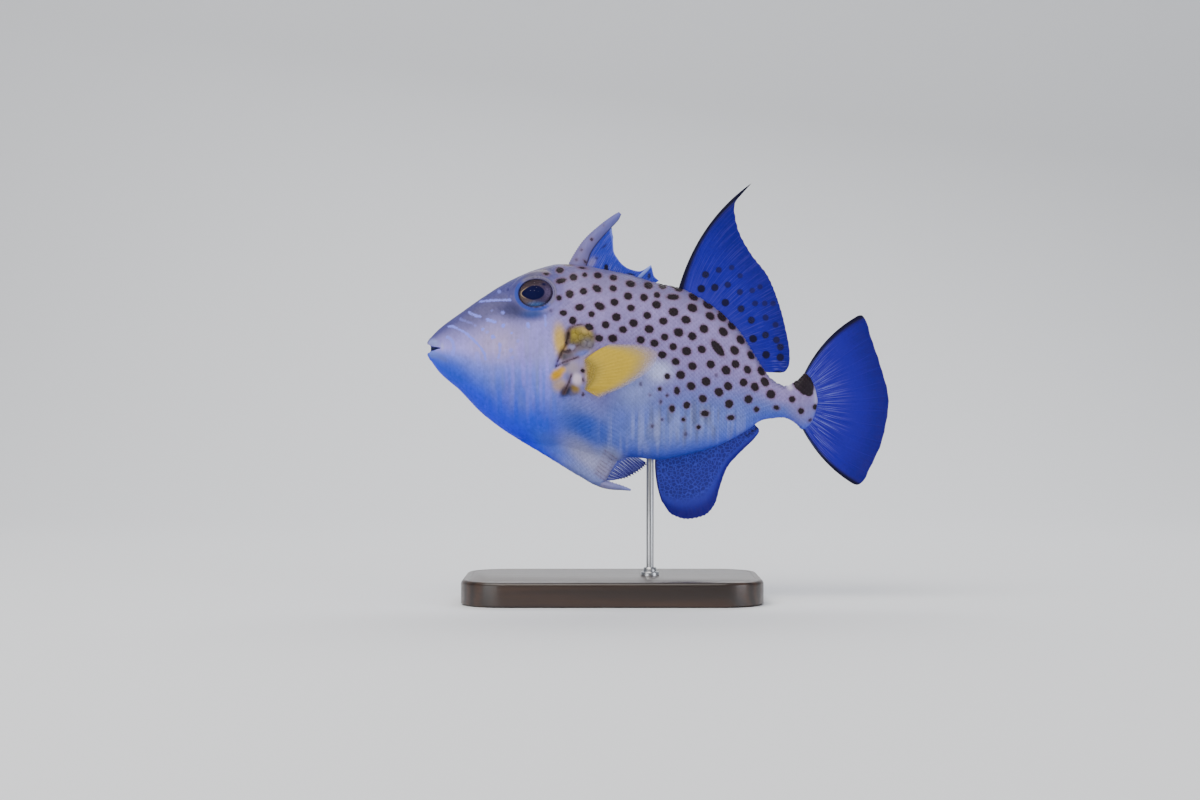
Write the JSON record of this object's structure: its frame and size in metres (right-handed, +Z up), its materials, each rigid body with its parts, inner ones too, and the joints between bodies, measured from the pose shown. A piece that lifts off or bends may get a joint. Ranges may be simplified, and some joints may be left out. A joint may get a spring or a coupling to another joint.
{
  "type": "bluespotted triggerfish model",
  "caption": "Spotted triggerfish swimming level with its fins spread, as a life-size display model held by an upright rod on a flat base with round corners.",
  "frame": {"origin": "middle of the flat underside of the stand's base", "axes": "-X is where the fish looks, +Z is up, +Y is its right side"},
  "size_m": [0.1491, 0.058, 0.1351],
  "materials": {
    "skin": "damp scaled skin, lilac-white with dark round spots",
    "eye": "clear wet eye over a dark iris",
    "spine": "rough skin over bone, pale lilac",
    "fin_web": "thin damp membrane over rays, blue with dark spots",
    "fin_yellow": "thin damp membrane over rays, yellow",
    "base_wood": "dark stained wood, satin varnish",
    "rod_steel": "brushed steel"
  },
  "bodies": {
    "root": {"head": "skin", "trunk": "skin", "tail_stalk": "skin", "eye_left": "eye", "eye_right": "eye", "dorsal_spine_first": "spine", "pelvic_spine": "spine", "dorsal_spiny_web": "fin_web", "soft_dorsal_fin": "fin_web", "anal_fin": "fin_web", "caudal_fin": "fin_web", "pelvic_flap": "fin_web", "pectoral_fin_left": "fin_yellow", "pectoral_fin_right": "fin_yellow", "stand_base": "base_wood", "stand_rod": "rod_steel"}
  },
  "joints": []
}
